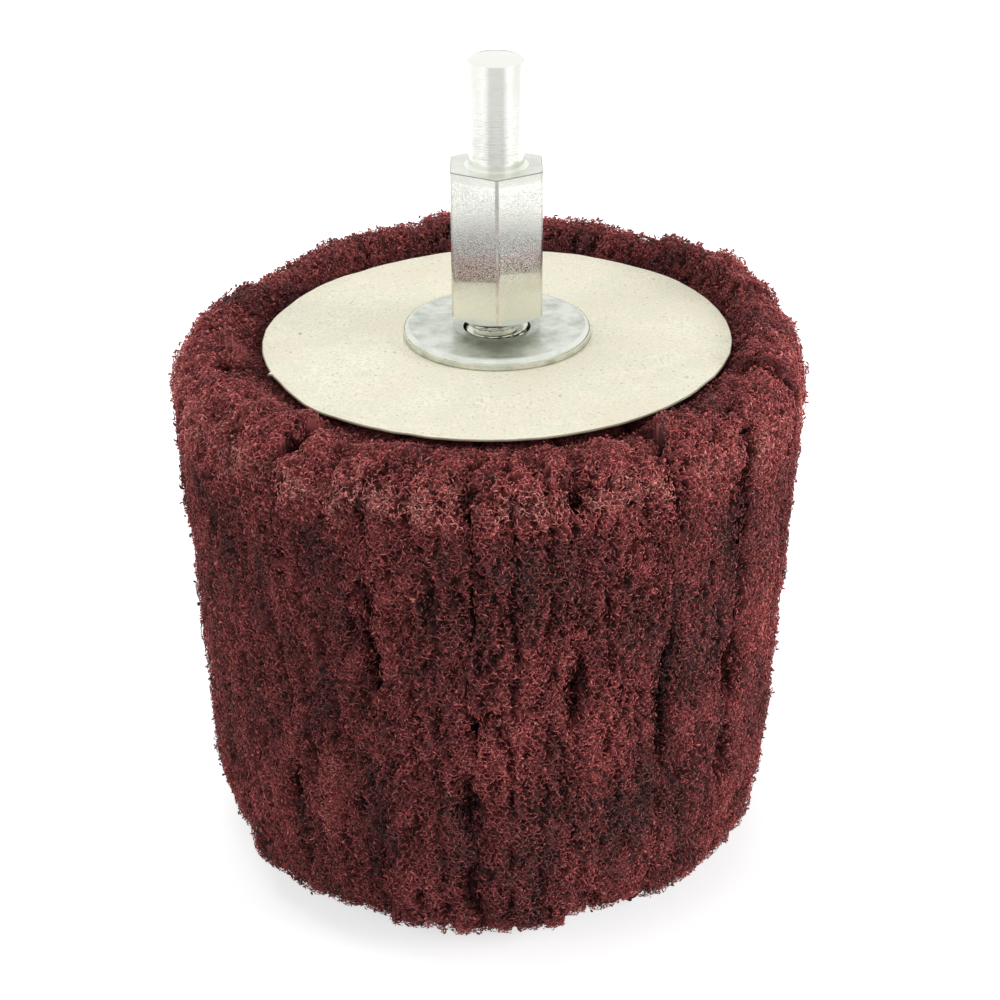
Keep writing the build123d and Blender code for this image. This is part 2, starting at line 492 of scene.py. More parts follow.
# Side view of a flap: a closed outline with round shoulder and foot, walked in steps that are short where
# it shows
def flapOutline(crest, floor, topChange, footChange, lift):
    top = web["topRadius"] + topChange
    foot = web["footRadius"] + footChange
    under = nodeBox("bottom_card")[1][2] + 0.1
    pocket = web["pocketLevel"] + min(lift, 0)
    bankFoot = min(crest, cardTop + lift) - web["bankDrop"]
    corners = [
        (web["coreRadius"], web["pocketLevel"]),
        (web["flatRadius"], web["pocketLevel"]),
        (web["pocketRadius"] - 1.5, pocket),
        (web["pocketRadius"], bankFoot),
        (web["pocketRadius"] + web["bank"], crest),
        (top, crest),
        (foot, floor),
        (web["pocketRadius"], floor),
        (web["pocketRadius"] - 0.5, under),
        (web["coreRadius"], under),
    ]
    bankSlope = math.atan2(crest - bankFoot, web["bank"])
    bankRound = min(web["bankRound"], 0.45 / math.tan(bankSlope / 2))  # ends before the shoulder's round
    radii = [0, 0, 0, 0, bankRound, web["shoulder"], web["footRound"], 0.4, 0, 0]
    dense = roundedOutline(corners, radii, 16)
    dense = np.concatenate([dense, dense[:1]])
    length = np.linalg.norm(np.diff(dense, axis=0), axis=1)
    middle = (dense[1:, 0] + dense[:-1, 0]) / 2
    weight = length * np.where(middle > web["pocketRadius"] - 1.5, 1.0, 0.12)  # few steps where it's hidden
    walked = np.concatenate([[0], np.cumsum(weight)]) / weight.sum()
    at = np.arange(web["outlineSteps"]) / web["outlineSteps"]
    outline = np.stack([np.interp(at, walked, dense[:, 0]), np.interp(at, walked, dense[:, 1])], 1)
    along = unit(np.roll(outline, -1, axis=0) - np.roll(outline, 1, axis=0))
    normal = np.stack([-along[:, 1], along[:, 0]], 1)  # the outline runs clockwise, so this points out
    return outline, normal


# Skin of a flap at a place along the outline and a share across it: the outline sinks towards the flap's
# edges by a power of that share, more where a soft field lets the gap gape, and past the edge it goes on
# down the gap's wall; soft lumps are added along the outline's normal, and the whole is bent round the axis
def flapSkin(flap, along, across):
    steps = len(flap["outline"])
    low = np.floor(along).astype(int) % steps
    part = (along - np.floor(along))[:, None]
    spot = flap["outline"][low] * (1 - part) + flap["outline"][(low + 1) % steps] * part
    out = flap["normal"][low] * (1 - part) + flap["normal"][(low + 1) % steps] * part
    out = unit(out)
    inside = np.clip(across, -1, 1)
    over = np.abs(across) - np.abs(inside)
    side = np.sign(across)
    shows = smoothStep(spot[:, 0], cardRadius - 1, cardRadius + 4)
    crest = np.clip(out[:, 1], 0, 1)
    edgeTurn = flap["middle"] + side * halfStep
    edgeSpot = placeRound(spot[:, 0], edgeTurn, spot[:, 1])
    upright = edgeSpot * (1, 1, web["cleftStretch"])
    gape = smoothStep(softFields(upright, web["clefts"]) - 0.2 * crest, -0.8, 1.3)
    gape *= 0.25 + 0.75 * smoothStep(spot[:, 0], cardRadius, cardRadius + 7)
    closed, opened = web["edgeDrop"]
    edgeDrop = closed + (opened - closed) * gape
    drop = edgeDrop * np.abs(inside) ** web["edgePower"] + over * web["wallDepth"]
    half = spot[:, 0] * math.tan(halfStep) - web["gap"] / 2
    flat = placeRound(spot[:, 0], flap["angle"] + inside * half / spot[:, 0], spot[:, 1])
    rimLumps, crestLumps = web["lumps"]
    lump = softFields(flat, ((0.7, 8.0, flap["seed"]), (0.6, 3.5, flap["seed"] + 1)))
    drop = drop - lump * shows * (rimLumps + (crestLumps - rimLumps) * crest)
    for number, (middleShare, depth) in enumerate(flap["plies"]):
        seed = flap["seed"] + 2 + 2 * number
        off = (inside - middleShare - 0.04 * softField(flat, 9.0, seed)) / web["plyWidth"]
        split = smoothStep(softField(flat, 6.0, seed + 1), -1.0, 0.6)
        drop = drop + shows * depth * np.exp(-(off**2)) * split
    radius = spot[:, 0] - out[:, 0] * drop
    height = spot[:, 1] - out[:, 1] * drop
    radius = radius + flap["rimSlant"] * inside * shows * np.clip(out[:, 0], 0, 1)
    height = height + flap["crestSlant"] * inside * shows * crest
    half = radius * math.tan(halfStep) - web["gap"] / 2
    stray = softFields(edgeSpot, web["gapFields"]) * (web["gapWander"] * shows * np.abs(inside) ** 3)
    turn = flap["angle"] + (inside * half + stray) / np.maximum(radius, 5)
    points = placeRound(radius, turn, height)
    points[:, 0] += web["packLean"] * (radius / web["topRadius"]) ** 3
    slope = edgeDrop * web["edgePower"] * np.abs(inside) ** (web["edgePower"] - 1) / np.maximum(half, 1)
    slope = np.where(over > 0, 50.0, slope) * side
    face = placeRound(out[:, 0], turn, out[:, 1]) + placeRound(slope, turn + math.pi / 2, 0 * slope)
    return points, unit(face), np.maximum(drop, 0)


# Pits: round ones of two sizes, with creases that run radially over the crest and down the rim
def pitsAt(points):
    around = np.arctan2(points[:, 1], points[:, 0]) * web["topRadius"]
    down = (points[:, 2] - np.hypot(points[:, 0], points[:, 1])) / 5
    crease = softField(np.stack([around, down, np.zeros_like(down)], 1), 3.4, 75)
    return softFields(points, web["pits"]) + 1.2 * smoothStep(crease, 0.8, 1.8)


# Share of tone at a place: pinker on the upward-facing shoulder, partly its own tone and partly a painted
# highlight; browner where the rim faces outwards, partly its own tone and partly painted shade; with broad
# blotches
def toneAt(points, face, flap):
    height = points[:, 2]
    shoulder = np.exp(-(((height - (cardTop - 5.5)) / 3.2) ** 2)) * np.clip(face[:, 2] + 0.6, 0, 1)
    rim = smoothStep(-face[:, 2], -0.7, 0.1)
    blotch = softFields(points * (1, 1, 0.4), ((1.0, 9.0, 33), (0.7, 3.5, 34)))
    return 0.54 + flap["tone"] + 0.5 * shoulder - 0.08 * rim + 0.08 * blotch


# Closed inner surface of a flap: columns run from the middle of one side face out to its edge, across the
# rim to the other edge and in again; the rim's part lies under the skin and is roughened by soft random
# fields
def flapBase(flap, rng):
    steps = web["outlineSteps"]
    across = np.linspace(-1, 1, web["acrossSteps"])
    along = np.arange(steps, dtype=float)
    grids, looks = [], []
    for share in across:
        points, face, drop = flapSkin(flap, along, np.full(steps, share))
        pit = smoothStep(pitsAt(points), 0.0, 1.3)
        grain = rng.normal(size=(steps, 3))
        rough = 0.18 * softField(points, 1.1, 51) + 0.14 * grain[:, 0]
        shown = smoothStep(flap["outline"][:, 0], cardRadius - 1, cardRadius + 1)
        depth = web["baseDepth"] + (web["pitDepth"] * pit + rough) * shown
        grids.append(points - face * depth[:, None])
        tone = np.clip(toneAt(points, face, flap) - 0.06 + 0.16 * grain[:, 1], 0.03, 0.97)
        # Painted shade: the base is written dark, and darker in its pits, in the gaps and in its rough
        # hollows
        shade = 0.3 - 0.18 * pit - 0.4 * rough - 0.1 * drop + 0.05 * grain[:, 2]
        looks.append(np.stack([tone, np.clip(shade, 0.05, 0.95)], 1))
    sides = []  # each side face shrinks from the edge to its middle
    for edge, step in ((0, 1), (-1, -1)):
        ring = grids[edge]
        centre = ring.mean(0)
        scaled = [centre + (ring - centre) * share for share in (0.02, 0.6, 0.93)]
        # Painted shade: the side faces, down in the gaps, are written darker and duller still
        look = np.stack([looks[edge][:, 0] * 0.8 + 0.02, looks[edge][:, 1] * 0.4 + 0.01], 1)
        sides.append((scaled[::step], [look + 0.004 * k for k in range(3)][::step]))
    grid = np.stack(sides[0][0] + grids + sides[1][0])
    look = np.stack(sides[0][1] + looks + sides[1][1])
    columns = len(grid)
    column, row = np.meshgrid(np.arange(columns - 1), np.arange(steps), indexing="ij")
    nextRow = (row + 1) % steps
    here, beyond = column * steps, (column + 1) * steps
    corners = [here + row, here + nextRow, beyond + nextRow, beyond + row]
    halves = (0, 1, 2), (0, 2, 3)
    faces = [np.stack([corners[number] for number in half], -1).reshape(-1, 3) for half in halves]
    onward = np.arange(1, steps - 1)
    fan = np.stack([0 * onward, onward, onward + 1], 1)  # closes the middle of each side face
    faces += [fan[:, ::-1], fan + (columns - 1) * steps]
    return grid.reshape(-1, 3), np.concatenate(faces), look.reshape(-1, 2)


def turned(vectors, axis, angle):
    cosine, sine = np.cos(angle)[:, None], np.sin(angle)[:, None]
    along = (vectors * axis).sum(1, keepdims=True) * axis * (1 - cosine)
    return vectors * cosine + np.cross(axis, vectors) * sine + along


# Curly fibres: from its start each one steps on, and its heading turns about its own axis at every step;
# three points round each inner stop and one at both ends make it a closed tube with drawn-out tips
def curlyFibres(kind, start, heading, axis, turn, step, radius):
    stops = [start]
    for _ in range(kind["segments"]):
        stops.append(stops[-1] + heading * step[:, None])
        heading = turned(heading, axis, turn)
    path = np.stack(stops, 1)
    path += (start - path.mean(1))[:, None]
    tangent = unit(np.gradient(path, axis=1))
    across = unit(np.cross(tangent, axis[:, None]))
    upward = np.cross(tangent, across)
    corner = np.arange(3) * 2 * math.pi / 3
    ring = np.cos(corner)[:, None] * across[:, :, None] + np.sin(corner)[:, None] * upward[:, :, None]
    ring = path[:, :, None] + ring * radius[:, None, None, None]
    inner = ring[:, 1:-1].reshape(len(start), -1, 3)
    return np.concatenate([path[:, :1], inner, path[:, -1:]], 1)


# Short fibre: a slim solid of four triangles, with one corner at both ends and two at its middle, a little
# to one side
def shortFibres(start, heading, axis, step, radius):
    bow = unit(np.cross(heading, axis))
    reach = heading * step[:, None]
    middle = start + bow * radius[:, None] * 1.3
    width = np.cross(heading, bow) * radius[:, None]
    return np.stack([start - reach, start + reach, middle + width, middle - width], 1)


# Faces of one fibre: a fan at both ends, and two triangles for each side of each step between
def fibreFaces(segments):
    if segments == 1:
        return np.array([(0, 1, 2), (1, 0, 3), (0, 2, 3), (1, 3, 2)])
    last = 3 * (segments - 1) + 1
    faces = []
    for j in range(3):
        a, b = 1 + j, 1 + (j + 1) % 3
        faces.append((0, b, a))
        for k in range(0, last - 4, 3):
            faces += [(a + k, b + k, b + k + 3), (a + k, b + k + 3, a + k + 3)]
        faces.append((a + last - 4, b + last - 4, last))
    return np.array(faces)


# Share of fibres that a place keeps: fewer in pits, down the gap's walls, under the foot and where the gap
# gapes
def keptAt(points, face, drop, across):
    pit = smoothStep(pitsAt(points), 0.1, 1.3)
    under = smoothStep(-face[:, 2], 0.3, 0.9)
    over = np.maximum(np.abs(across) - 1, 0)
    gape = smoothStep(drop - over * web["wallDepth"], 0.5, 1.5)
    wall = np.where(over > 0.2, gape, 1.0) * np.where(over > 0, 0.6, 1.0)
    return wall * (1 - 0.7 * pit) * (1 - 0.5 * under) * (1 - 0.3 * gape), pit


# Painted shade seen by the shader: full light at the skin, less with every step under it, in the gaps, and a
# painted shadow by the card's edge; the wobble keeps a fibre's corners apart on the bake map
def shadeAt(points, face, drop, corners):
    sunk = ((points[:, None] - corners) * face[:, None]).sum(2) + 0.5 * drop[:, None]
    past = np.hypot(corners[..., 0] + 0.5, corners[..., 1]) - cardRadius
    pocket = np.exp(-np.maximum(past, 0) / shading["pocketReach"])
    pocket = np.where(corners[..., 2] > cardTop - shading["pocketDepth"], pocket, 0)
    light = (1.0 - shading["fall"] * np.maximum(sunk, 0)) * (1 - shading["pocket"] * pocket)
    wobble = np.resize([0.0, 0.012, 0.024, 0.004], corners.shape[1])
    return np.clip(light, shading["least"], 0.95) + wobble


# One mesh of many fibres: rows of corners, of which none goes under the floor, and the look of each corner:
# its tone and its painted shade
def fibreMesh(corners, segments, tone, points, face, drop):
    corners[..., 2] = np.maximum(corners[..., 2], web["fibreFloor"])
    shade = shadeAt(points, face, drop, corners)
    tone = np.clip(tone, 0.03, 0.95)[:, None] + np.resize([0.0, 0.02, 0.01, 0.03, 0.016], corners.shape[1])
    faces = fibreFaces(segments)[None] + (np.arange(len(corners)) * corners.shape[1])[:, None, None]
    return corners.reshape(-1, 3), faces.reshape(-1, 3), np.stack([tone, shade], -1).reshape(-1, 2)


# Net of fibres: a honeycomb over the unrolled skin, whose knots stray by part of its side and lie at random
# depths; each side of a cell is one short fibre from knot to knot, so that the fibres join up round dark
# pores
def netFibres(flap, level, rng):
    outline = flap["outline"]
    shown = np.flatnonzero(outline[:, 0] > cardRadius - 1.2)
    stepLength = np.linalg.norm(outline[shown[9]] - outline[shown[8]])
    halfWidth = web["topRadius"] * math.tan(halfStep)
    rows = int(len(shown) * stepLength / (1.5 * net["side"]))  # rows of a honeycomb lie 1.5 sides apart
    columns = int(2 * net["reach"] * halfWidth / (0.866 * net["side"]))  # and its columns half the root of 3
    row, column = np.meshgrid(np.arange(rows), np.arange(columns), indexing="ij")
    odd = (row + column) % 2
    stray = rng.normal(size=(2, rows, columns)) * net["stray"]
    up = (1.5 * row + 0.25 - 0.5 * odd + stray[0] + rng.random()) * net["side"]
    aside = (0.866 * column + stray[1] + rng.random()) * net["side"] - net["reach"] * halfWidth
    along = np.clip(shown.min() + up / stepLength, shown.min(), shown.max()).ravel()
    across = np.clip(aside / halfWidth, -net["wallEnd"], net["wallEnd"]).ravel()
    points, face, drop = flapSkin(flap, along, across)
    kept, pit = keptAt(points, face, drop, across)
    depth = level + rng.uniform(0, 0.25, len(points)) + 0.5 * pit * rng.random(len(points))
    knots = points - face * depth[:, None]
    number = np.arange(rows * columns).reshape(rows, columns)
    upright = odd[:-1] == 0
    first = np.concatenate([number[:, :-1].ravel(), number[:-1][upright]])
    second = np.concatenate([number[:, 1:].ravel(), number[1:][upright]])
    middle = (knots[first] + knots[second]) / 2
    reach = knots[second] - knots[first]
    length = np.linalg.norm(reach, axis=1)
    chance = np.sqrt(kept[first] * kept[second]) * (1 - net["missing"])
    there = (rng.random(len(first)) < chance) & (length < net["longest"] * net["side"]) & (length > 0.1)
    first, middle, reach, length = first[there], middle[there], reach[there], length[there]
    count = len(first)
    heading = reach / length[:, None]
    axis = unit(np.cross(heading, rng.normal(size=(count, 3))))
    radius = net["thickness"] / 2 * rng.uniform(0.7, 1.25, count)
    corners = shortFibres(middle, heading, axis, length * net["overlap"], radius)
    tone = toneAt(middle, face[first], flap) + rng.normal(size=count) * 0.15
    return fibreMesh(corners, 1, tone, points[first], face[first], drop[first])


# Fibres of a flap: places are drawn evenly over its skin, as many as it keeps there, and tufts mostly on
# the crest's far side; each fibre lies nearly along the skin, at a random depth under it, or leans out of
# it by the given share
def flapFibres(flap, kind, lean, rng):
    far = (1 + math.sin(flap["angle"])) / 2
    count = int(kind["count"] * (0.4 + 0.6 * far if lean else 1.0))
    pool = count * 3  # places to choose from
    visible = np.flatnonzero(flap["outline"][:, 0] > cardRadius - 0.2)
    along = rng.uniform(visible.min(), visible.max(), pool)
    across = rng.uniform(-1.2, 1.2, pool)  # a little way down the gaps' walls too
    points, face, drop = flapSkin(flap, along, across)
    kept, pit = keptAt(points, face, drop, across)
    weight = kept * np.hypot(points[:, 0], points[:, 1]) / web["topRadius"]
    if lean:
        weight *= 0.06 + far * np.clip(face[:, 2], 0, 1)
    chosen = np.argsort(rng.exponential(size=pool) / weight)[:count]
    points, face, drop, pit = points[chosen], face[chosen], drop[chosen], pit[chosen]
    if lean:
        depth = rng.uniform(-0.2, 0.1, count)
    else:
        depth = rng.uniform(0.0, 0.75, count) + 0.5 * pit * rng.random(count)
    start = points - face * depth[:, None]
    heading = rng.normal(size=(count, 3))
    heading -= (heading * face).sum(1, keepdims=True) * face * 0.7
    heading = unit(heading + 2.5 * lean * face)
    axis = unit(np.cross(heading, rng.normal(size=(count, 3))))
    axis = unit(axis + heading * rng.uniform(-0.4, 0.4, count)[:, None])
    turn = rng.uniform(*kind["turn"], count)
    step = kind["step"] * rng.uniform(0.6, 1.3, count)
    radius = kind["thickness"] / 2 * rng.uniform(0.7, 1.25, count)
    if kind["segments"] == 1:
        corners = shortFibres(start, heading, axis, step, radius)
    else:
        corners = curlyFibres(kind, start, heading, axis, turn, step, radius)
    tone = toneAt(points, face, flap) + rng.normal(size=count) * 0.18 - 0.2 * lean
    return fibreMesh(corners, kind["segments"], tone, points, face, drop)


# Flap: one row of the table and a little chance give its outline; its inner surface, the layers of its net
# and its loose fibres are one mesh, whose lowest part is pressed flat on the floor
def makeFlap(index):
    rng = np.random.default_rng(400 + index)
    angle = math.radians(web["firstGap"]) + halfStep * (2 * index + 1)
    crest, floor, topChange, footChange, lift = flapTable[index]
    crest += cardTop + rng.uniform(-0.6, 0.6)
    bulge = rng.uniform(-0.3, 0.3)
    outline, normal = flapOutline(crest, floor, topChange + bulge, footChange + bulge, lift)
    flap = {
        "seed": 500 + 7 * index,
        "middle": angle,
        "angle": angle + rng.uniform(-0.002, 0.002),
        "outline": outline,
        "normal": normal,
        "rimSlant": rng.uniform(-0.4, 0.4),
        "crestSlant": rng.uniform(-0.4, 0.4),
        "tone": rng.uniform(-0.06, 0.06),
        "plies": [(at, rng.uniform(*web["plyDepth"])) for at in rng.uniform((-0.5, 0.1), (-0.1, 0.5))],
    }
    parts = [flapBase(flap, rng)]
    parts += [netFibres(flap, level, rng) for level in net["layers"]]
    loose = (strokes, 0.0), (tufts, 0.6), (strays, 0.3)
    parts += [flapFibres(flap, kind, lean, rng) for kind, lean in loose]
    before = np.cumsum([0] + [len(points) for points, _, _ in parts])
    points = np.concatenate([points for points, _, _ in parts])
    faces = np.concatenate([faces + start for (_, faces, _), start in zip(parts, before)])
    look = np.concatenate([look for _, _, look in parts])
    level, share = web["pressed"]
    points[:, 2] -= share * np.minimum(points[:, 2] - level, 0)
    piece = meshPiece(f"flapWeb{index + 1:02d}", points, faces, [webMaterial], look=look)
    dress(piece, "mop", "fibre_web", flapNodes[index])
    return len(faces)


webTriangles = sum(makeFlap(index) for index in range(web["flaps"]))
print("flaps made, triangles:", webTriangles)

# Cards

card = {
    "columns": 480,
    "thickness": 0.29,
    "holeRadius": 4.5,
    "waveHeight": 0.06,  # small waves on top of the edge's lift by the web
    "edgeWander": 0.16,  # the cut edge strays by this
    "nick": (200.5, 0.5, 1.6),  # torn sliver at the edge: degrees, half width in degrees, length
    "edgeRadius": 0.12,
    "springRadius": 14.0,  # the card is flat within this radius
}


# Card: a flat ring with barely rounded edges, whose rim rises and sinks with the web from the washer out
def makeCard(name, node, seed):
    low, high = nodeBox(node)
    if node == "top_card":
        low[2] = high[2] - card["thickness"]
    else:
        high[2] = low[2] + card["thickness"]
    hole, rim = card["holeRadius"], high[0]
    section = roundedOutline(
        [(hole, low[2]), (rim, low[2]), (rim, high[2]), (hole, high[2])],
        [0, card["edgeRadius"], card["edgeRadius"], 0],
        4,
    )
    flat = []
    for first, last in ((section[0], section[1]), (section[-2], section[-1])):
        flat.append(first + (last - first) * np.linspace(0, 1, 14)[:, None])
    section = np.concatenate([flat[0], section[2:-2], flat[1]])
    angle = columnAngles(card["columns"])
    around = placeRound(30, angle, 0 * angle)
    wander = card["edgeWander"] * softFields(around, ((1.0, 14.0, seed), (0.4, 4.0, seed + 1)))
    wave = card["waveHeight"] * softField(around, 12.0, seed + 2)
    if node == "top_card":
        wave += tableAt(np.degrees(angle), 4)
        at, width, length = card["nick"]
        wander += length * np.clip(1 - np.abs(np.degrees(angle) - at) / width, 0, 1)
    outward = smoothStep(section[:, 0], rim - 1.0, rim)[:, None]
    sprung = smoothStep(section[:, 0], card["springRadius"], rim)[:, None]
    radius = section[:, :1] + outward * wander * 0.6
    height = section[:, 1:] + sprung * wave
    points, faces = roundSurface(list(zip(radius, height)), card["columns"], closed=True)
    middle = section[:, 0] > rim - 0.25
    edgeRow = middle & np.roll(middle, -1)
    faceMaterial = np.repeat(edgeRow, card["columns"])
    materials = [cardMaterial, cardEdgeMaterial]
    piece = meshPiece(name, points, faces, materials, faceMaterial, sharpAngle=50, merge=True)
    dress(piece, "mop", "card_board", node)


makeCard("topCardDisc", "top_card", 81)
makeCard("bottomCardDisc", "bottom_card", 91)
print("cards made")

# Washer, bolt and arbor

washer = {
    "columns": 192,
    "holeRadius": 4.3,
    "rimRadius": 0.7,
    "lowerRadius": 0.2,
    "bevel": (1.3, 0.35),  # width and depth of the bevel round the hole
    "bevelRounds": (1.2, 0.12),
    "dish": 0.08,
    "arcPoints": 7,
}


# Washer: a pressed ring with rolled upper rim and a wide bevel drawn down into its hole; its upper face
# dips between the two by a power of a sine
def makeWasher():
    low, high = nodeBox("top_washer")
    hole, arc = washer["holeRadius"], washer["arcPoints"]
    bevelWidth, bevelDepth = washer["bevel"]
    corners = [(hole, low[2]), (high[0], low[2]), (high[0], high[2])]
    corners += [(hole + bevelWidth, high[2]), (hole, high[2] - bevelDepth)]
    radii = [0.1, washer["lowerRadius"], washer["rimRadius"], *washer["bevelRounds"]]
    section = roundedOutline(corners, radii, arc)
    inner = hole + bevelWidth + 0.5
    outer = high[0] - washer["rimRadius"]
    face = np.stack([np.linspace(outer, inner, 12), np.full(12, high[2])], 1)
    section = np.concatenate([section[: 3 * arc], face[1:-1], section[3 * arc :]])
    share = np.clip((section[:, 0] - inner) / (outer - inner), 0, 1)
    onFace = section[:, 1] > high[2] - 0.01
    section[:, 1] -= np.where(onFace, washer["dish"] * np.sin(math.pi * share) ** 0.7, 0)
    points, faces = roundSurface(section, washer["columns"], closed=True)
    row = np.arange(len(faces)) // washer["columns"]
    rim = (row >= 2 * arc) & (row < 3 * arc - 1)
    bore = (row >= len(section) - arc) & (row < len(section) - 1)
    # The rolled rim and the bore's bevel get the brighter zinc with a painted highlight
    materials = [zinc["zincWasher"], zinc["smoothZincPaintedHighlight"]]
    faceMaterial = (rim | bore).astype(int)
    piece = meshPiece("washerRing", points, faces, materials, faceMaterial, sharpAngle=40, merge=True)
    dress(piece, "loose_washer", "washer_zinc", "top_washer")


cornerCone = math.tan(math.radians(30))  # slope of the cone that trims the corners of both hexagons


# Radius of a hexagon with turned corners, by angle: the flat's distance over the cosine of the angle from
# the middle of the flat, and never more than the radius of the corners
def hexRadius(columns, width, corner):
    off = (columnAngles(columns) + math.pi / 6) % (math.pi / 3) - math.pi / 6
    return np.minimum(width / 2 / np.cos(off), corner)


bolt = {
    "columns": 96,
    "radius": 3.95,
    "pitch": 1.25,
    "threadDepth": 0.62,
    "threadStart": 40.0,  # above the head, where the resin still hides it
    "turnSteps": 14,
    "tip": (0.6, 0.7),  # height and depth of the chamfer at its tip
    "headWidth": 13.0,
    "headHeight": 5.3,
    "headCorner": 7.35,
}


# Bolt: hexagon head at the foot, then a shank whose radius follows a blunted triangle wave that climbs one
# pitch a turn
def makeBolt():
    low, high = nodeBox("bolt")
    turn = columnAngles(bolt["columns"]) / (2 * math.pi)
    hexagon = hexRadius(bolt["columns"], bolt["headWidth"], bolt["headCorner"])
    foot, headTop = low[2], low[2] + bolt["headHeight"]
    tipHeight, tipDepth = bolt["tip"]
    rows = [
        (0, foot),
        (bolt["headWidth"] / 2 - 0.2, foot),
        (hexagon, foot + (hexagon - bolt["headWidth"] / 2) * cornerCone + 0.1),
        (hexagon, headTop),
        (bolt["radius"], headTop),
    ]
    step = bolt["pitch"] / bolt["turnSteps"]
    for level in np.arange(headTop + bolt["threadStart"], high[2] - tipHeight, step):
        phase = (level / bolt["pitch"] - turn) % 1
        wave = np.clip(np.abs(2 * phase - 1) * 1.25 - 0.12, 0, 1)
        rows.append((bolt["radius"] - bolt["threadDepth"] * (1 - wave), level))
    rows += [(bolt["radius"] - tipDepth, high[2]), (0, high[2])]
    points, faces = roundSurface(rows, bolt["columns"])
    piece = meshPiece("boltThreaded", points, faces, [zinc["brightBolt"]], sharpAngle=42, merge=True)
    dress(piece, "mop", "bolt_steel", "bolt")


arbor = {
    "columns": 432,
    "width": 11.35,
    "corner": 6.43,  # radius to which the bar's corners are turned
    "topEdge": 0.1,
    "edgeSteps": 5,
    "shankRadius": 3.5,
    "shankLength": 13.4,
    "endChamfer": 0.5,
    "holeRadius": 4.0,
    "holeDepth": 12.0,
    "drillPoint": 2.4,
    "mouth": 0.5,
}


# Arbor: rows climb from the drill point down the tapped hole, out over the coned corners of the hexagon, up
# its flats, in to the shank's foot and up to the chamfered end
def makeArbor():
    low, high = nodeBox("arbor")
    hexagon = hexRadius(arbor["columns"], arbor["width"], arbor["corner"])
    foot = low[2]
    hexFoot = foot + (hexagon - arbor["width"] / 2) * cornerCone + 0.05
    hexTop = high[2] - arbor["shankLength"]
    hole, shank = arbor["holeRadius"], arbor["shankRadius"]
    rows = [
        (0, foot + arbor["holeDepth"] + arbor["drillPoint"]),
        (hole, foot + arbor["holeDepth"]),
        (hole, foot + arbor["mouth"]),
        (hole + arbor["mouth"], foot),
        (arbor["width"] / 2 - 0.05, foot),
        (hexagon - 0.03, hexFoot - 0.04),
        (hexagon, hexFoot),
    ]
    sideRow = len(rows) - 2
    edge = arbor["topEdge"]
    for share in np.linspace(0.05, 1, 10):
        rows.append((hexagon, hexFoot + (hexTop - edge - hexFoot) * share))
    edgeRow = len(rows) - 1
    for share in np.linspace(0.2, 1, arbor["edgeSteps"]) * math.pi / 2:
        rows.append((hexagon - edge * (1 - math.cos(share)), hexTop - edge + edge * math.sin(share)))
    topRow = len(rows) - 1
    rows += [(radius, hexTop) for radius in (4.6, 4.0, shank)]
    shankRow = topRow + 2
    chamfer = arbor["endChamfer"]
    rows += [(shank, level) for level in np.linspace(hexTop + 1, high[2] - chamfer - 0.1, 8)]
    endProfile = [(shank, -chamfer), (shank - 0.08, -chamfer + 0.1), (shank - chamfer + 0.05, -0.06)]
    endProfile += [(shank - chamfer - 0.08, 0.0), (shank * 0.5, 0.0), (0.0, 0.0)]
    rows += [(radius, high[2] + level) for radius, level in endProfile]
    points, faces = roundSurface(rows, arbor["columns"])
    row = np.arange(len(rows) - 1)[:, None]
    corner = (hexagon + np.roll(hexagon, -1) > 2 * arbor["corner"] - 0.01)[None]
    slots = np.where(corner & (row >= sideRow), 1, 0)
    # The top edge's slot carries a painted dark line of shade
    for number, first in ((2, edgeRow), (3, topRow), (4, shankRow)):
        slots = np.where(row >= first, number, slots)
    # The top face gets the brighter zinc with a painted highlight
    materials = [zinc[name] for name in ("zincHexagon", "wornCorner", "paintedDarkEdge", "smoothZincPaintedHighlight")]
    materials.append(turnedMaterial)
    piece = meshPiece("arborTurned", points, faces, materials, slots.ravel(), sharpAngle=28, merge=True)
    dress(piece, "mop", "zinc_plated_steel", "arbor")


makeWasher()
makeBolt()
makeArbor()
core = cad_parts["resin_core"]
core.data.materials.clear()
core.data.materials.append(resinMaterial)
print("metal pieces made")

# Floor, light and camera

stage = {
    "front": -215.0,
    "back": 1500.0,
    "side": 300.0,
    "sunk": 0.02,  # the floor lies this far under the mop's foot
    "white": 0.62,
    "glow": 0.66,  # light that it gives off, as the camera sees it near the mop
    "fade": (140.0, 260.0),  # further out the glow grows between these distances from the axis
    "wide": 1.6,  # to so many times as much
    # Near the axis reflections see a dark floor: painted shade
    "near": (234.0, 260.0),  # reflections see it dark to the first distance, and lit from the second
    "lit": 1.15,  # its glow there, in shares of the glow above
    "dim": 0.2,  # white of the dark part
}
room = {  # pairs are parts of a direction along its axis, between which the world's light in it changes
    "above": (0.35, 0.45),  # white above, behind and beside the mop
    "behind": (-0.4, -0.1),
    "beside": (0.42, 0.6),
    "dark": 0.76,  # what is left in front of it
    "right": (0.84, 0.92),  # the far right is a little darker again
    "rightShade": 0.88,
    "fill": 0.3,  # the even light on the mop
}
lamps = {
    "topSoftbox": {"spot": (-80, 150, 640), "size": (520, 420), "power": 2.45},
    "leftSoftbox": {"spot": (-510, -310, 300), "size": (300, 520), "power": 1.15},
    "rightSoftbox": {"spot": (600, -170, 190), "size": (300, 420), "power": 3.7},
}
lampAim = 45  # height on the axis that every lamp points at
view = {
    "lens": 71.11,
    "elevation": 27.992,  # degrees above the horizon
    "roll": -0.443,
    "distance": 264.4,
    "target": (-1.969, 0.0, 46.98),
    "shift": 0.0171,
}


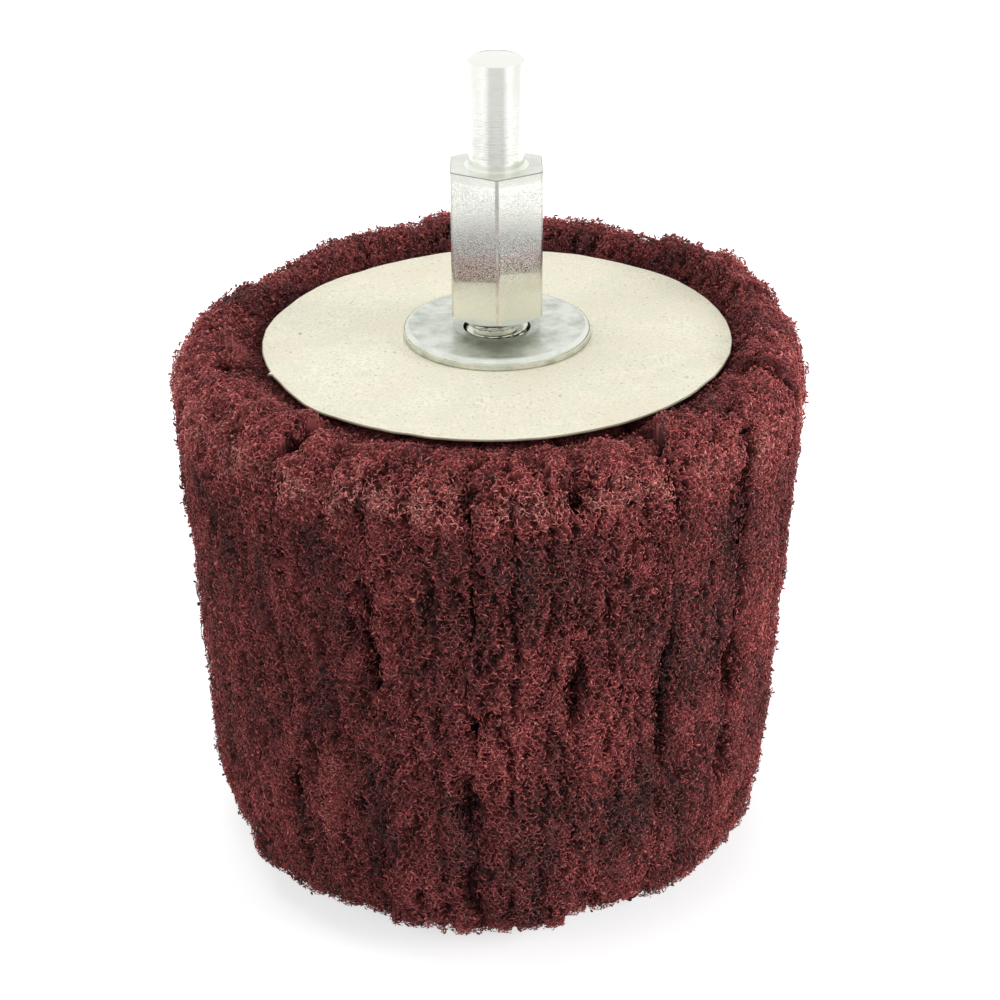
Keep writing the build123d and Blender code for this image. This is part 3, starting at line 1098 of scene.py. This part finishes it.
# Floor: matt white, with a glow that lifts it to the photograph's white; the camera sees the glow grow with
# the distance from the axis, and reflections see it only from a distance on, and a dark floor nearer
def makeFloor():
    side, front, back, level = stage["side"], stage["front"], stage["back"], -stage["sunk"]
    corners = [(-side, front, level), (side, front, level), (side, back, level), (-side, back, level)]
    material, tree, shader = newMaterial("paleFloor", Roughness=1.0, Specular_IOR_Level=0.0)
    rays = addNode(tree, "ShaderNodeLightPath").outputs
    spot = objectSpot(tree)
    distance = addNode(tree, "ShaderNodeVectorMath", {"operation": "LENGTH"}, Vector=spot).outputs["Value"]
    outer = rangeFrom(tree, distance, [reach * mm for reach in stage["near"]], (0.0, stage["lit"]))
    wide = rangeFrom(tree, distance, [reach * mm for reach in stage["fade"]], (1.0, stage["wide"]))
    shown = maths(tree, "MULTIPLY", rays["Is Camera Ray"], wide)
    mirrored = maths(tree, "MULTIPLY", outer, rays["Is Glossy Ray"])
    glow = maths(tree, "MULTIPLY", maths(tree, "MAXIMUM", shown, mirrored), stage["glow"])
    # Painted shade: the floor near the axis is dark to reflections only
    far = mixColours(tree, outer, grey(stage["dim"]), grey(stage["white"]))
    colour = mixColours(tree, rays["Is Glossy Ray"], grey(stage["white"]), far)
    plug(tree, shader, Base_Color=colour, Emission_Color=grey(1.0), Emission_Strength=glow)
    floor = meshPiece("paleFloorPlane", np.array(corners), np.array([[0, 1, 2, 3]]), [material])


# Lamp: a rectangle of light that points at the mop's middle and doesn't show in reflections
def makeLamp(name, lamp):
    data = bpy.data.lights.new(name, "AREA")
    data.shape = "RECTANGLE"
    data.size, data.size_y = lamp["size"][0] * mm, lamp["size"][1] * mm
    data.energy = lamp["power"]
    light = bpy.data.objects.new(name, data)
    bpy.context.scene.collection.objects.link(light)
    light.location = Vector(lamp["spot"]) * mm
    light.visible_glossy = False
    aim = Vector((0, 0, lampAim * mm)) - light.location
    light.rotation_euler = aim.to_track_quat("-Z", "Y").to_euler()


# World: white to the camera, a white room with a darker front in reflections, and a soft even light otherwise
def makeWorld():
    world = bpy.data.worlds.new("studio")
    bpy.context.scene.world = world
    world.use_nodes = True
    tree = world.node_tree
    rays = addNode(tree, "ShaderNodeLightPath").outputs
    spot = addNode(tree, "ShaderNodeTexCoord").outputs["Generated"]
    parts = addNode(tree, "ShaderNodeSeparateXYZ", Vector=spot).outputs
    above = rangeFrom(tree, parts["Z"], room["above"])
    behind = rangeFrom(tree, parts["Y"], room["behind"])
    beside = rangeFrom(tree, maths(tree, "ABSOLUTE", parts["X"]), room["beside"])
    right = rangeFrom(tree, parts["X"], room["right"], (1.0, room["rightShade"]))
    lit = maths(tree, "MAXIMUM", maths(tree, "MAXIMUM", above, behind), beside)
    mirrored = mixColours(tree, 1.0, rangeFrom(tree, lit, target=(room["dark"], 1.0)), right, "MULTIPLY")
    seen = mixColours(tree, rays["Is Glossy Ray"], grey(room["fill"]), mirrored)
    for ray in ("Is Transmission Ray", "Is Camera Ray"):
        seen = mixColours(tree, rays[ray], seen, grey(1.0))
    plug(tree, tree.nodes["Background"], Color=seen)


# Camera: it looks down at its target from the front, rolled a little about its own axis
def makeCamera():
    data = bpy.data.cameras.new("photoCamera")
    data.sensor_width = 36.0
    data.lens = view["lens"]
    data.shift_x = view["shift"]
    data.clip_start, data.clip_end = 0.01, 10.0
    camera = bpy.data.objects.new("photoCamera", data)
    bpy.context.scene.collection.objects.link(camera)
    rise, roll = math.radians(view["elevation"]), math.radians(view["roll"])
    back = Vector((0, -math.cos(rise), math.sin(rise)))
    right, up = Vector((1, 0, 0)), Vector((0, math.sin(rise), math.cos(rise)))
    across = right * math.cos(roll) + up * math.sin(roll)
    upward = up * math.cos(roll) - right * math.sin(roll)
    turn = Matrix((across, upward, back)).transposed().to_4x4()
    camera.matrix_world = Matrix.Translation((Vector(view["target"]) + back * view["distance"]) * mm) @ turn
    bpy.context.scene.camera = camera


makeFloor()
for name, lamp in lamps.items():
    makeLamp(name, lamp)
makeWorld()
makeCamera()
bpy.context.scene.view_settings.view_transform = "Standard"

print("stage set")
